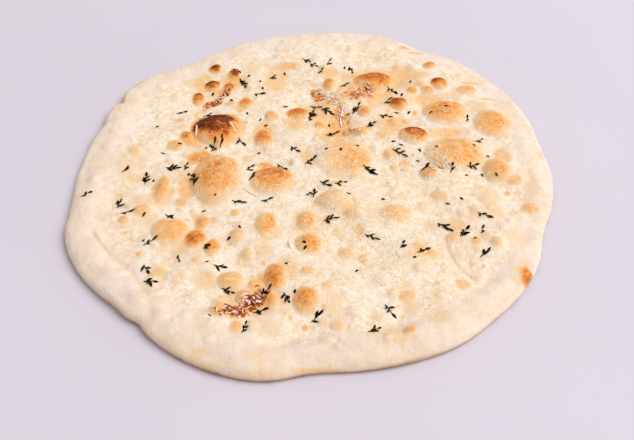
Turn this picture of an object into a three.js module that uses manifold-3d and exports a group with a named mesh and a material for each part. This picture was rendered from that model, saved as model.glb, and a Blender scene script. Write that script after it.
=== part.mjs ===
// A thin round focaccia, baked whole: a flat, blistered middle inside a raised, uneven rim, strewn with
// thyme and grated hard cheese. It lies on its flat underside. Millimetres, +Z up, origin under its middle.
import * as THREE from "three";
import Module from "manifold-3d";

// ---- Driving dimensions, in millimetres and degrees ----

// Distance from the middle to the edge, every 10 degrees anticlockwise from +X.
const EDGE_RADII = [
  149, 149, 153, 155.5, 157.5, 158, 154.5, 159, 158.5, 155, 153, 153.5, 148.5, 147.5, 154, 155, 151, 149,
  149.5, 151, 157, 157, 154, 152.5, 155.5, 157, 155.5, 148.5, 149, 150.5, 151.5, 150, 149.5, 148, 144, 147,
];
// Places where two folds of dough meet at the edge: [direction, how far the edge draws in, half its width].
const EDGE_NICKS = [[151.9, 4.5, 1.8], [162, 2, 2.5], [231, 1.5, 1.8], [223, 0.8, 2.5], [194.5, 0.8, 1.5]];

const CRUMB_THICKNESS = 6; // the flat middle
const RIM_HEIGHT = 7.6; // the rim, on average
const RIM_SWING = 2.2; // how much thicker the rim is on its thick side, and thinner opposite
const RIM_THICK_SIDE = 225; // direction of the thick side
// Lumps along the rim: [how many there are around it, where they start in radians, height].
const RIM_LUMPS = [[5, 1, 0.7], [11, 2, 0.5]];
const RIM_WIDTH = 22; // from the edge in to the foot of the rim, on average
const RIM_WIDTH_SWING = 5; // how much wider the rim is on its thick side, and narrower opposite
const WAIST = 0.3; // height of the widest point, as a share of the rim's height
const RIM_CREST = 9; // how far in from the edge the rim is highest
const EDGE_SLOPE = 18; // how far in from the edge the top starts to slope down to it
const EDGE_DROP = 0.35; // share of the height that the slope has lost at the edge
const TOP_ROUND = 4.5; // how far in from the edge the rounding at the end of the slope reaches
const SHOULDER = 2.5; // how full the rounding is: 2 is a quarter of an ellipse, and more is nearer a box
const UNDER_ROUND = 4; // the same for the rounding underneath
const SWELL = 0.7; // depth of the slow waves in the dough
const LUMP_SIZE = 17; // across the hills and hollows of the skin
const LUMP_HEIGHT = 1; // how far they rise and fall
const LUMP_SEED = 8;
// Creases, where the dough was turned in or pinched: [points of the line, depth, half its width].
const CREASES = [
  [[[-131, -53], [-125, -61], [-118.5, -69]], 2.0, 2.5],
  [[[-117, -71], [-110, -78], [-103, -85.5], [-96, -95]], 1.7, 2.5],
  [[[-96, -95], [-91, -104], [-88, -114]], 1.0, 3.2],
  [[[76, -62], [78, -72], [82, -80], [90, -87]], 1.2, 2.5],
  [[[-14, -118], [-2, -122], [8, -127], [14, -134]], 0.8, 2.5],
];

// Blisters raised in the oven: [x, y, width, depth, rise].
const BLISTERS = [
  [-64, 40, 32, 31, 7.7], [-61, -7, 33, 46, 7], [-27, -8, 28, 25, 5], [18, 12, 38, 37, 4.2],
  [89, 17, 40, 37, 6], [87, 59, 31, 27, 5], [117, 47, 25, 27, 4], [114, 1, 18, 24, 3.5],
  [64, 34, 19, 18, 5], [41, 93, 29, 20, 4.5], [-85, -50, 25, 22, 3], [-70, -57, 13, 18, 3.5],
  [-59, -65, 10, 16, 3], [-67, -43, 10, 12, 2.5], [-29, -46, 14, 21, 3], [-5, -43, 13, 17, 3],
  [-3, -61, 18, 17, 4], [-47, -89, 16, 15, 3], [-22, -86, 14, 20, 4], [-5, -104, 15, 19, 4],
  [12, -27, 22, 22, 3.5], [49, -37, 21, 15, 2.5], [106, -21, 19, 19, 2.5], [130, -32, 13, 10, 1.5],
  [119, -85, 8, 17, 1.2], [57, 68, 13, 13, 4], [86, 89, 12, 12, 3.5], [-34, 33, 12, 17, 3.5],
  [-11, 57, 17, 12, 3], [-71, 87, 12, 11, 3.5], [-80, 74, 9, 13, 3], [10, 88, 10, 15, 3],
  [-34, -92, 8, 9, 2], [-39, -101, 10, 11, 2.5], [-52, -110, 11, 13, 2.5], [-24, -103, 9, 13, 2.5],
  [71, -2, 12, 13, 3], [81, 109, 10, 8, 2.5], [67, 82, 8, 9, 2], [77, 83, 10, 8, 2], [105, 84, 15, 11, 2.5],
  [-29, 53, 10, 10, 2.5], [-47, 68, 10, 12, 2.5], [-71, 105, 9, 9, 2.5], [-57, 99, 8, 10, 2.5],
  [-60, 85, 8, 10, 2.5], [-90, 25, 12, 10, 2], [-84, 33, 9, 9, 2], [-94, -15, 9, 26, 2.5],
  [-104, -35, 12, 9, 2], [-46, -56, 12, 14, 2.5], [-39, -69, 8, 9, 2], [33, 59, 10, 12, 2.5],
  [3, 46, 8, 8, 2], [30, 38, 10, 9, 2.5], [51, 47, 8, 9, 2], [47, 16, 7, 10, 2], [22, -37, 12, 8, 2],
  [105, -61, 8, 9, 2], [80, -56, 9, 8, 2], [76, -22, 13, 9, 2],
];
const BLISTER_MERGE = 3; // power that joins blisters which touch, without one standing on the other
const BLISTER_STEEPNESS = 0.85; // 0.5 is half an ellipsoid, and 1 a shallow dish turned over

// Thyme: [x, y, direction of the stem, number of leaves].
const THYME_SPRIGS = [
  [-56, 103, -40, 3], [-51, 91, -60, 5], [-7, 116, -30, 3], [25, 107, -70, 4], [-3, 54, 75, 6],
  [7, 60, -30, 4], [27, 61, 70, 5], [36, 44, 40, 4], [52, 84, -50, 4], [-91, 4, 0, 5],
  [-75, -10, 90, 5], [-65, 27, 75, 4], [-42, 2, 55, 3], [-48, -26, -15, 3], [-14, 22, -50, 3],
  [-4, 8, 40, 5], [10, 38, 30, 4], [34, 2, -30, 6], [15, -11, 15, 3], [53, 18, -40, 5],
  [98, 4, 25, 4], [-106, -6, 90, 6], [-140, -23, 30, 3], [-119, -30, 75, 3], [-88, -38, -40, 3],
  [-97, -61, 45, 3], [-93, -90, 0, 4], [-63, -64, -75, 3], [-49, -96, -25, 4], [-16, -101, -65, 5],
  [-38, -122, 75, 4], [0, -115, 45, 3], [8, -42, 15, 5], [32, -55, -25, 4], [76, -46, -40, 6],
  [87, -52, 55, 5], [61, -68, 35, 4], [97, -69, 45, 4], [40, -109, -60, 4], [31, -124, 30, 5],
];
const LOOSE_LEAVES = 24;
const LEAF_LENGTH = 4.6;
const LEAF_WIDTH = 1.7;
const LEAF_THICKNESS = 0.8;

// Cheese: clumps that melted and crisped, [x, y, reach], and shreds lying loose over the middle.
const CRISP_CLUMPS = [
  [-80, 75, 5], [-67, 76, 6], [11, 70, 8], [27, 81, 8], [17, 54, 6], [-42, -107, 7], [-31, -104, 7],
];
const SHREDS_IN_CLUMP = 4;
const LOOSE_SHREDS = 22;
const SHRED_LENGTH = 7;
const SHRED_THICKNESS = 0.9;
const TOPPING_REACH = 124; // the rim stays bare beyond this radius

// The skin is drawn finely and then thinned, so that its triangles stay small only where it bends.
const RINGS = 34; // rings of triangles from the middle to the rounded edge
const ROUNDING_STEPS = 6;
const UNDERSIDE_STEPS = 3;
const THINNING = 0.43; // how far thinning may move the skin
const SPARE = 0.5; // the underside is made this much too low, and after the thinning it is cut off level

// ---- Helpers ----

const radians = THREE.MathUtils.degToRad;
const { smoothstep, lerp, euclideanModulo } = THREE.MathUtils;

// The same even spread of values from 0 to 1 each time, one for each whole number.
function spread(n) {
  const s = Math.sin(n * 12.9898 + 4.1414) * 43758.5453;
  return s - Math.floor(s);
}

// Distance from the middle to the edge in one direction: a smooth curve through the radii, less the nicks.
function edgeRadius(angle) {
  const step = 360 / EDGE_RADII.length;
  const degrees = euclideanModulo(THREE.MathUtils.radToDeg(angle), 360);
  const i = Math.floor(degrees / step);
  const t = degrees / step - i;
  const at = (k) => EDGE_RADII[euclideanModulo(i + k, EDGE_RADII.length)];
  const [a, b, c, d] = [at(-1), at(0), at(1), at(2)];
  let radius = b + 0.5 * t * (c - a + t * (2 * a - 5 * b + 4 * c - d + t * (3 * (b - c) + d - a)));
  for (const [direction, depth, halfWidth] of EDGE_NICKS) {
    const away = (euclideanModulo(degrees - direction + 180, 360) - 180) / halfWidth;
    radius -= depth * Math.exp(-away * away);
  }
  return radius;
}

// Height of the rim in one direction: thick on one side, with lumps of its own.
function rimHeight(angle) {
  let height = RIM_HEIGHT + RIM_SWING * Math.cos(angle - radians(RIM_THICK_SIDE));
  for (const [count, start, lump] of RIM_LUMPS) height += lump * Math.sin(count * angle + start);
  return height;
}

// Slow waves in the dough.
function swell(x, y) {
  const long = Math.sin(x / 11 + y / 17 + 1) + Math.sin(y / 9 - x / 23);
  const short = Math.sin(x / 6.5 + 2) * Math.cos(y / 7.5);
  return SWELL * (long + 0.7 * short);
}

// Smooth random values from -1 to 1 over the plan, with hills and hollows of about the given size.
function smoothRandom(x, y, size, seed) {
  const layers = [
    [x, y],
    [0.8 * x - 0.6 * y, 0.6 * x + 0.8 * y],
  ];
  let total = 0;
  layers.forEach(([a, b], layer) => {
    const [i, j] = [Math.floor(a / size), Math.floor(b / size)];
    const [s, t] = [smoothstep(a / size - i, 0, 1), smoothstep(b / size - j, 0, 1)];
    const corner = (di, dj) => {
      const n = Math.sin((i + di) * 127.1 + (j + dj) * 311.7 + (seed + 7 * layer) * 74.7) * 43758.5453;
      return 2 * (n - Math.floor(n)) - 1;
    };
    total += lerp(lerp(corner(0, 0), corner(1, 0), s), lerp(corner(0, 1), corner(1, 1), s), t);
  });
  return 0.7 * total;
}

// How far the creases draw the top in at a point.
function creaseDepth(x, y) {
  const point = new THREE.Vector3(x, y, 0);
  const nearest = new THREE.Vector3();
  let total = 0;
  for (const [line, depth, halfWidth] of CREASES) {
    let away = Infinity;
    for (let i = 1; i < line.length; i++) {
      const [from, to] = [line[i - 1], line[i]].map((end) => new THREE.Vector3(...end, 0));
      new THREE.Line3(from, to).closestPointToPoint(point, true, nearest);
      away = Math.min(away, nearest.distanceTo(point));
    }
    total += depth * Math.exp(-((away / halfWidth) ** 2));
  }
  return total;
}

// How far the blisters lift the top at a point.
function blisterRise(x, y) {
  let sum = 0;
  for (const [cx, cy, width, depth, rise] of BLISTERS) {
    const d = Math.hypot((x - cx) / (width / 2), (y - cy) / (depth / 2));
    if (d < 1) sum += (rise * (1 - d * d) ** BLISTER_STEEPNESS) ** BLISTER_MERGE;
  }
  return sum ** (1 / BLISTER_MERGE);
}

// Height of the top over a point of the plan.
function topHeight(x, y) {
  const angle = Math.atan2(y, x);
  const inset = Math.max(0, edgeRadius(angle) - Math.hypot(x, y));
  const rim = rimHeight(angle);
  const rimFoot = RIM_WIDTH + RIM_WIDTH_SWING * Math.cos(angle - radians(RIM_THICK_SIDE));
  const middle = CRUMB_THICKNESS + swell(x, y);
  const slope = 1 - EDGE_DROP * Math.max(0, 1 - inset / EDGE_SLOPE) ** 2;
  const crest = slope * lerp(rim, middle, smoothstep(inset, RIM_CREST, rimFoot));
  const round = 1 - Math.min(1, inset / TOP_ROUND);
  const waist = WAIST * rim;
  const rounded = waist + (crest - waist) * (1 - round ** SHOULDER) ** (1 / SHOULDER);
  const skin = LUMP_HEIGHT * smoothRandom(x, y, LUMP_SIZE, LUMP_SEED) - creaseDepth(x, y);
  return rounded + (1 - round) * skin + blisterRise(x, y);
}

// Height of the underside before it is cut level, at a distance in from the edge.
function underHeight(angle, inset) {
  const round = 1 - Math.min(1, inset / UNDER_ROUND);
  return (WAIST * rimHeight(angle) + SPARE) * (1 - Math.sqrt(1 - round * round)) - SPARE;
}

// ---- The bread: rings of points, sewn into one closed skin ----

function breadGeometry() {
  const around = 6 * RINGS;
  const position = [];
  const index = [];
  const angleOf = (j, count) => (2 * Math.PI * j) / count;
  const addRing = (count, place) => {
    const first = position.length / 3;
    for (let j = 0; j < count; j++) position.push(...place(angleOf(j, count)));
    return first;
  };
  const onTop = (inset) => (angle) => {
    const r = edgeRadius(angle) - inset;
    const [x, y] = [r * Math.cos(angle), r * Math.sin(angle)];
    return [x, y, topHeight(x, y)];
  };
  const sewBand = (outer, inner) => {
    for (let j = 0; j < around; j++) {
      const next = (j + 1) % around;
      index.push(inner + j, outer + j, outer + next, inner + j, outer + next, inner + next);
    }
  };

  // The middle: ring k has 6k points, so that its triangles are all of one size.
  let inner = addRing(1, () => [0, 0, topHeight(0, 0)]);
  for (let k = 1; k <= RINGS; k++) {
    const outer = addRing(6 * k, (angle) => {
      const r = (k / RINGS) * (edgeRadius(angle) - TOP_ROUND);
      const [x, y] = [r * Math.cos(angle), r * Math.sin(angle)];
      return [x, y, topHeight(x, y)];
    });
    for (let sector = 0; sector < 6; sector++) {
      for (let j = 0; j < k; j++) {
        const a = inner + (k > 1 ? (sector * (k - 1) + j) % (6 * (k - 1)) : 0);
        const b = outer + sector * k + j;
        const c = outer + ((sector * k + j + 1) % (6 * k));
        index.push(a, b, c);
        if (j < k - 1) index.push(a, c, inner + ((sector * (k - 1) + j + 1) % (6 * (k - 1))));
      }
    }
    inner = outer;
  }

  // Over the rim and down to the widest point.
  for (let k = 1; k <= ROUNDING_STEPS; k++) {
    const inset = TOP_ROUND * (1 - Math.sin((Math.PI / 2) * (k / ROUNDING_STEPS)));
    const outer = addRing(around, onTop(inset));
    sewBand(outer, inner);
    inner = outer;
  }

  // Underneath, in to the flat that it lies on.
  for (let k = 1; k <= UNDERSIDE_STEPS; k++) {
    const inset = UNDER_ROUND * (1 - Math.cos((Math.PI / 2) * (k / UNDERSIDE_STEPS)));
    const under = addRing(around, (angle) => {
      const r = edgeRadius(angle) - inset;
      return [r * Math.cos(angle), r * Math.sin(angle), underHeight(angle, inset)];
    });
    sewBand(under, inner);
    inner = under;
  }
  const centre = addRing(1, () => [0, 0, -SPARE]);
  for (let j = 0; j < around; j++) index.push(centre, inner + ((j + 1) % around), inner + j);

  const geometry = new THREE.BufferGeometry();
  geometry.setAttribute("position", new THREE.Float32BufferAttribute(position, 3));
  geometry.setIndex(index);
  return geometry;
}

// ---- Toppings: low four-sided slivers, half sunk in the top ----

// A sliver at a point of the top, turned to a direction and tilted with the surface there.
function sliver(x, y, direction, length, width, thickness) {
  const reach = 1.5;
  const slopeX = (topHeight(x + reach, y) - topHeight(x - reach, y)) / (2 * reach);
  const slopeY = (topHeight(x, y + reach) - topHeight(x, y - reach)) / (2 * reach);
  const normal = new THREE.Vector3(-slopeX, -slopeY, 1).normalize();
  const tilt = new THREE.Quaternion().setFromUnitVectors(new THREE.Vector3(0, 0, 1), normal);
  const turn = new THREE.Quaternion().setFromAxisAngle(new THREE.Vector3(0, 0, 1), radians(direction));
  return new THREE.OctahedronGeometry(1)
    .scale(length / 2, width / 2, thickness)
    .applyQuaternion(tilt.multiply(turn))
    .translate(x, y, topHeight(x, y));
}

const leaf = (x, y, direction, size = 1) =>
  sliver(x, y, direction, LEAF_LENGTH * size, LEAF_WIDTH * size, LEAF_THICKNESS);

const shred = (x, y, direction, size) =>
  sliver(x, y, direction, SHRED_LENGTH * size, SHRED_THICKNESS, SHRED_THICKNESS);

// The leaves of a sprig stand out in pairs along its stem, alternately to the left and the right.
function sprig([x, y, direction, leaves], n) {
  const along = [Math.cos(radians(direction)), Math.sin(radians(direction))];
  return Array.from({ length: leaves }, (_, i) => {
    const way = (Math.floor(i / 2) - (leaves - 1) / 4) * 0.75 * LEAF_LENGTH;
    const side = i % 2 ? 1 : -1;
    const splay = side * (30 + 35 * spread(10 * n + i));
    const out = 0.32 * LEAF_LENGTH;
    const heading = radians(direction + splay);
    return leaf(
      x + way * along[0] + out * Math.cos(heading),
      y + way * along[1] + out * Math.sin(heading),
      direction + splay,
      0.8 + 0.4 * spread(10 * n + i + 5),
    );
  });
}

// Point n of many, spread evenly over a disc by turning through the golden angle, then shaken a little.
function scattered(n, many, seed) {
  const golden = radians(137.508);
  const shake = 9;
  const r = TOPPING_REACH * Math.sqrt((n + 0.5) / many);
  const angle = n * golden + seed;
  return [
    r * Math.cos(angle) + shake * (spread(n + 100 * seed) - 0.5),
    r * Math.sin(angle) + shake * (spread(n + 100 * seed + 50) - 0.5),
  ];
}

function looseLeaves() {
  return Array.from({ length: LOOSE_LEAVES }, (_, n) => {
    const [x, y] = scattered(n, LOOSE_LEAVES, 1);
    return leaf(x, y, 360 * spread(n + 300), 0.7 + 0.3 * spread(n + 400));
  });
}

function looseShreds() {
  return Array.from({ length: LOOSE_SHREDS }, (_, n) => {
    const [x, y] = scattered(n, LOOSE_SHREDS, 2);
    return shred(x, y, 360 * spread(n + 500), 0.7 + 0.6 * spread(n + 600));
  });
}

function crispClump([x, y, reach], n) {
  return Array.from({ length: SHREDS_IN_CLUMP }, (_, i) => {
    const k = 20 * n + i;
    const angle = 2 * Math.PI * spread(k + 700);
    const r = reach * Math.sqrt(spread(k + 800));
    return shred(x + r * Math.cos(angle), y + r * Math.sin(angle), 360 * spread(k + 900), 0.8);
  });
}

// ---- Joining ----

const wasm = await Module();
wasm.setup();

// A closed geometry as a solid, with the points that its faces share merged.
function solidOf(geometry) {
  const { array } = geometry.getAttribute("position");
  const index = geometry.index ? geometry.index.array : Array.from({ length: array.length / 3 }, (_, i) => i);
  const solid = new wasm.Mesh({
    numProp: 3,
    vertProperties: new Float32Array(array),
    triVerts: new Uint32Array(index),
  });
  solid.merge();
  return new wasm.Manifold(solid);
}

// Everything below the plane that the bread lies on.
function belowGround() {
  const side = 3 * TOPPING_REACH;
  return new THREE.BoxGeometry(side, side, side).translate(0, 0, -side / 2);
}

// Joins everything, and keeps the outer skin alone: scraps and sealed pockets go.
function joined(bread, toppings) {
  const level = solidOf(bread).simplify(THINNING).subtract(solidOf(belowGround()));
  const whole = wasm.Manifold.union([level, ...toppings.map(solidOf)]);
  const [largest] = whole.decompose().sort((a, b) => b.volume() - a.volume());
  const { numProp, vertProperties, triVerts } = largest.getMesh();
  const geometry = new THREE.BufferGeometry();
  geometry.setAttribute("position", new THREE.BufferAttribute(vertProperties, numProp));
  geometry.setIndex(new THREE.BufferAttribute(triVerts, 1));
  return geometry;
}

function focacciaMesh() {
  const geometry = joined(breadGeometry(), [
    ...THYME_SPRIGS.flatMap(sprig),
    ...looseLeaves(),
    ...CRISP_CLUMPS.flatMap(crispClump),
    ...looseShreds(),
  ]);
  geometry.computeBoundingBox();
  const middle = geometry.boundingBox.getCenter(new THREE.Vector3());
  geometry.translate(-middle.x, -middle.y, 0);
  const crust = new THREE.MeshStandardMaterial({ color: "#f2dcba", roughness: 0.85, metalness: 0 });
  const mesh = new THREE.Mesh(geometry, crust);
  mesh.name = "focaccia";
  return mesh;
}

const part = new THREE.Group();
part.add(focacciaMesh());

export default part;
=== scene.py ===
"""A thin round focaccia, baked whole, strewn with thyme and grated hard cheese.

Lengths are in millimetres in the lists and in the form's functions, and in metres in Blender. The plan's
origin is where the edge's radii are measured from; every piece is then moved so that the middle of the
bread's box is the frame's origin. +Z is up and the bread lies on its flat underside.
"""

import math

import bpy
import numpy as np
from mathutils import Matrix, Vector


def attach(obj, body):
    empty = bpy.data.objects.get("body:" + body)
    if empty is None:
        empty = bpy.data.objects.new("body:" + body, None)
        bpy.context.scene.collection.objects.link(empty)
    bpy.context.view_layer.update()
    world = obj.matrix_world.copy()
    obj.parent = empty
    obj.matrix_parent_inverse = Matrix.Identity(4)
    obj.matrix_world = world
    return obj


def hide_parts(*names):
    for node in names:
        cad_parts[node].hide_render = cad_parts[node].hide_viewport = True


bl_info = {
    "name": "Focaccia",
    "version": (1, 0, 0),
    "blender": (4, 5, 0),
    "location": "3D View > Sidebar > Focaccia",
    "description": "Builds a blistered round focaccia with thyme and grated cheese, and its stage",
    "category": "Add Mesh",
}

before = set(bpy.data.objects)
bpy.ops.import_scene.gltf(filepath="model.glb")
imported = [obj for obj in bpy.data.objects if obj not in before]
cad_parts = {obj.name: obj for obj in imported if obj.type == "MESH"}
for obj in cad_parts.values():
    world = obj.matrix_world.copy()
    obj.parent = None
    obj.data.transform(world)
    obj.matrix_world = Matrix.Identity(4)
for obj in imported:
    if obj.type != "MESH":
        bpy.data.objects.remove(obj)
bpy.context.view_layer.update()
NODE = "focaccia"
MM = 0.001

# ---- The bread's form ----

# Distance from the middle to the edge, every 10 degrees anticlockwise from +X.
EDGE_RADII = [
    149, 149, 153, 155.5, 157.5, 158, 154.5, 159, 158.5, 155, 153, 153.5, 148.5, 147.5, 154, 155, 151, 149,
    149.5, 151, 157, 157, 154, 152.5, 155.5, 157, 155.5, 148.5, 149, 150.5, 151.5, 150, 149.5, 148, 144, 147,
]
# Places where two folds of dough meet at the edge: direction, how far the edge draws in, half its width.
EDGE_NICKS = [(151.9, 4.5, 1.8), (162, 2, 2.5), (231, 1.5, 1.8), (223, 0.8, 2.5), (194.5, 0.8, 1.5)]
RIM_THICK_SIDE = 225  # direction, in degrees, of the side where the rim is thickest
# Lumps along the rim: how many there are around it, where they start in radians, height.
RIM_LUMPS = [(5, 1, 0.7), (11, 2, 0.5)]
BROWN_AND_SHADE_SIDE = 262  # direction, in degrees, of the side where the foot of the edge is browned most and its flank painted darkest as shade
HOT_REACH = (0.5, 0.95)  # cosines of the turn away from it at which that colour starts and is full
FLANK_SHARE = (0.52, 0.28)  # shares of the rim's height at which the flank's colour starts and is full
FLANK_INSET = (1, 4)  # how far in from the edge that colour starts to end and has ended
FLANK_BROWN_AND_SHADE = (0.15, 0.65)  # how strong the flank's colour is, and how much stronger on that side: partly the foot's real browning, partly painted shade on the flank
RIM_SKIN_SHARE = (1.1, 0.75)  # shares of the rim's width at which its own colour starts and is full
RIM_SKIN_AND_SHADE = (0.75, 0.25)  # how strong that colour is, and how much stronger on the thick side, where the extra is painted shade of the side turned from the light
EDGE_BAND = 11  # how far in from the edge a faint band of brown reaches on the hot side
EDGE_BAND_BROWN = 0.09
WAIST = 0.3  # height of the widest point, as a share of the rim's height
RIM_CREST = 9  # how far in from the edge the rim is highest
EDGE_SLOPE = 18  # how far in from the edge the top starts to slope down to it
EDGE_DROP = 0.35  # share of the height that the slope has lost at the edge
TOP_ROUND = 4.5  # how far in from the edge the rounding at the end of the slope reaches
SHOULDER = 2.5  # how full the rounding is: 2 is a quarter of an ellipse, and more is nearer a box
UNDER_ROUND = 4  # the same for the rounding underneath
# Creases, where the dough was turned in or pinched: the points of each line, its depth, half its width.
CREASES = [
    ([(-131, -53), (-125, -61), (-118.5, -69)], 2.0, 1.1),
    ([(-117, -71), (-110, -78), (-103, -85.5), (-96, -95)], 1.7, 2.4),
    ([(-96, -95), (-91, -104), (-88, -114)], 1.0, 3.2),
    ([(76, -62), (78, -72), (82, -80), (90, -87)], 1.2, 1.2),
    ([(-14, -118), (-2, -122), (8, -127), (14, -134)], 0.8, 1.5),
]
CREASE_PAINTED_SHADE = 0.06  # painted shade in the creases, as an amount of brown for every millimetre of their depth
# Unevenness: layers of smooth random hills and hollows, each with its size, its seed and its height.
SKIN_LUMPS = [(17, 8, 1.0), (8, 1, 0.45), (3.5, 2, 0.16)]
RAGGED_BLISTERS = [(3, 3, 0.10), (8, 4, 0.08)]
FRAYED_PATCHES = [(4, 9, 0.3)]
RAGGED_STAINS = [(2.6, 5, 0.45)]
UNEVEN_FLANK = [(25, 6, 0.15)]
UNEVEN_RIM_FOOT = [(14, 7, 0.15)]
UNEVEN_BAND = [(11, 12, 5)]

# Large blisters raised in the oven: x, y, width, depth, rise, how brown they are at most from 0 to 1, the
# direction in degrees of the side that is brownest, and the share of the brown that is lost away from it.
LARGE_BLISTERS = [
    (-64, 40, 32, 31, 7.7, 1.12, 118, 0.45), (-61, -7, 33, 46, 7, 0.56, 130, 0.28),
    (-27, -8, 28, 25, 5, 0.74, 70, 0.55), (18, 12, 38, 37, 4.2, 0.55, 0, 0.80),
    (89, 17, 40, 37, 6, 0.54, 340, 0.55), (87, 59, 31, 27, 5, 0.56, 130, 0.25),
    (117, 47, 25, 27, 4, 0.48, 330, 0.20), (114, 1, 18, 24, 3.5, 0.37, 330, 0.10),
    (64, 34, 19, 18, 5, 1.02, 80, 0.55), (41, 93, 29, 20, 4.5, 0.78, 100, 0.30),
    (-85, -50, 25, 22, 3, 0.40, 250, 0.15), (-70, -57, 13, 18, 3.5, 0.72, 250, 0.25),
    (-59, -65, 10, 16, 3, 0.50, 120, 0.30), (-67, -43, 10, 12, 2.5, 0.42, 150, 0.15),
    (-29, -46, 14, 21, 3, 0.50, 0, 0.30), (-5, -43, 13, 17, 3, 0.44, 40, 0.10),
    (-3, -61, 18, 17, 4, 0.54, 240, 0.30), (-47, -89, 16, 15, 3, 0.34, 150, 0.10),
    (-22, -86, 14, 20, 4, 0.58, 230, 0.15), (-5, -104, 15, 19, 4, 0.56, 150, 0.20),
    (12, -27, 22, 22, 3.5, 0.28, 90, 0.50), (49, -37, 21, 15, 2.5, 0.36, 150, 0.40),
    (106, -21, 19, 19, 2.5, 0.18, 270, 0.30), (130, -32, 13, 10, 1.5, 0.30, 280, 0.20),
    (119, -85, 8, 17, 1.2, 0.66, 320, 0.20), (57, 68, 13, 13, 4, 0.90, 120, 0.40),
    (86, 89, 12, 12, 3.5, 0.86, 110, 0.35), (-34, 33, 12, 17, 3.5, 0.68, 100, 0.30),
    (-11, 57, 17, 12, 3, 0.74, 150, 0.35), (-71, 87, 12, 11, 3.5, 1.10, 110, 0.60),
    (-80, 74, 9, 13, 3, 0.88, 90, 0.50), (10, 88, 10, 15, 3, 0.60, 120, 0.40),
]
# Small ones, all browned alike: x, y, width, depth, rise, how brown they are.
SMALL_BLISTERS = [
    (-34, -92, 8, 9, 2, 0.42), (-39, -101, 10, 11, 2.5, 0.44), (-52, -110, 11, 13, 2.5, 0.36),
    (-24, -103, 9, 13, 2.5, 0.50), (-42, -122, 8, 10, 1.5, 0.34), (50, -125, 8, 8, 1.5, 0.42),
    (51, -100, 11, 10, 1.5, 0.28), (18, -67, 11, 10, 1.5, 0.24), (71, -2, 12, 13, 3, 0.46),
    (81, 109, 10, 8, 2.5, 0.56), (65, 133, 9, 7, 1.5, 0.34), (67, 82, 8, 9, 2, 0.50),
    (77, 83, 10, 8, 2, 0.44), (105, 84, 15, 11, 2.5, 0.38), (-29, 53, 10, 10, 2.5, 0.42),
    (-47, 68, 10, 12, 2.5, 0.58), (-71, 105, 9, 9, 2.5, 0.92), (-57, 99, 8, 10, 2.5, 0.92),
    (-60, 85, 8, 10, 2.5, 0.70), (-90, 25, 12, 10, 2, 0.40), (-84, 33, 9, 9, 2, 0.62),
    (-94, -15, 9, 26, 2.5, 0.44), (-104, -35, 12, 9, 2, 0.34), (-114, -43, 7, 7, 1.5, 0.34),
    (-46, -56, 12, 14, 2.5, 0.26), (-39, -69, 8, 9, 2, 0.26), (-18, 110, 18, 8, 1.5, 0.32),
    (33, 59, 10, 12, 2.5, 0.48), (3, 46, 8, 8, 2, 0.50), (30, 38, 10, 9, 2.5, 0.44),
    (51, 47, 8, 9, 2, 0.50), (47, 16, 7, 10, 2, 0.32), (22, -37, 12, 8, 2, 0.28),
    (105, -61, 8, 9, 2, 0.30), (80, -56, 9, 8, 2, 0.24), (58, -81, 7, 6, 1.5, 0.16),
    (-4, -82, 10, 8, 1.5, 0.28), (76, -22, 13, 9, 2, 0.24), (68, -69, 8, 7, 1.5, 0.28),
    (45, -46, 9, 8, 1.5, 0.10), (88, -36, 8, 7, 1.5, 0.08), (96, -33, 7, 7, 1.5, 0.08),
    (37, -115, 14, 10, 1.5, 0.06), (22, -112, 12, 12, 1.5, 0.06), (-77, -86, 16, 12, 1.5, 0.06),
    (-60, -80, 14, 10, 1.5, 0.06), (128, -6, 10, 12, 1.5, 0.08), (61, 50, 6, 6, 1.5, 0.10),
    (38, 22, 8, 8, 1.5, 0.08), (-14, 8, 8, 8, 1.5, 0.08), (-30, 22, 8, 7, 1.5, 0.10),
]
SMALL_BLISTER_SIDE = 90
SMALL_BLISTER_FADE = 0.15
BROWN_REACH = (1.25, 0.4)  # where a blister's colour starts and is full, as shares of its half width
DARK_CORE = 0.4  # how much farther out it is full on the brownest side of the darkest blisters
DARK_LEVELS = (0.55, 0.95)  # how brown a blister has to be for that to start and to be full
DARK_LEAN = (-0.2, 0.6)  # where that side starts and is full, from -1 on the pale side to 1
BUBBLE_SEED = 11
BUBBLES_REACH = 143  # how far from the middle the smallest bubbles lie
BUBBLE_BROWN = 0.34  # how brown the brownest of them is
PALE_BUBBLES_FROM = 125  # how far from the middle they start to be paler
PALE_BUBBLES_SHARE = 0.3  # share of the brown that they keep there
# The least value and the spread above it: a bubble's size, its rise for its size, its width for its size.
BUBBLE_SIZE = (2.4, 6.5)
BUBBLE_RISE = (0.09, 0.1)
BUBBLE_STRETCH = (0.8, 0.5)
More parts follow.
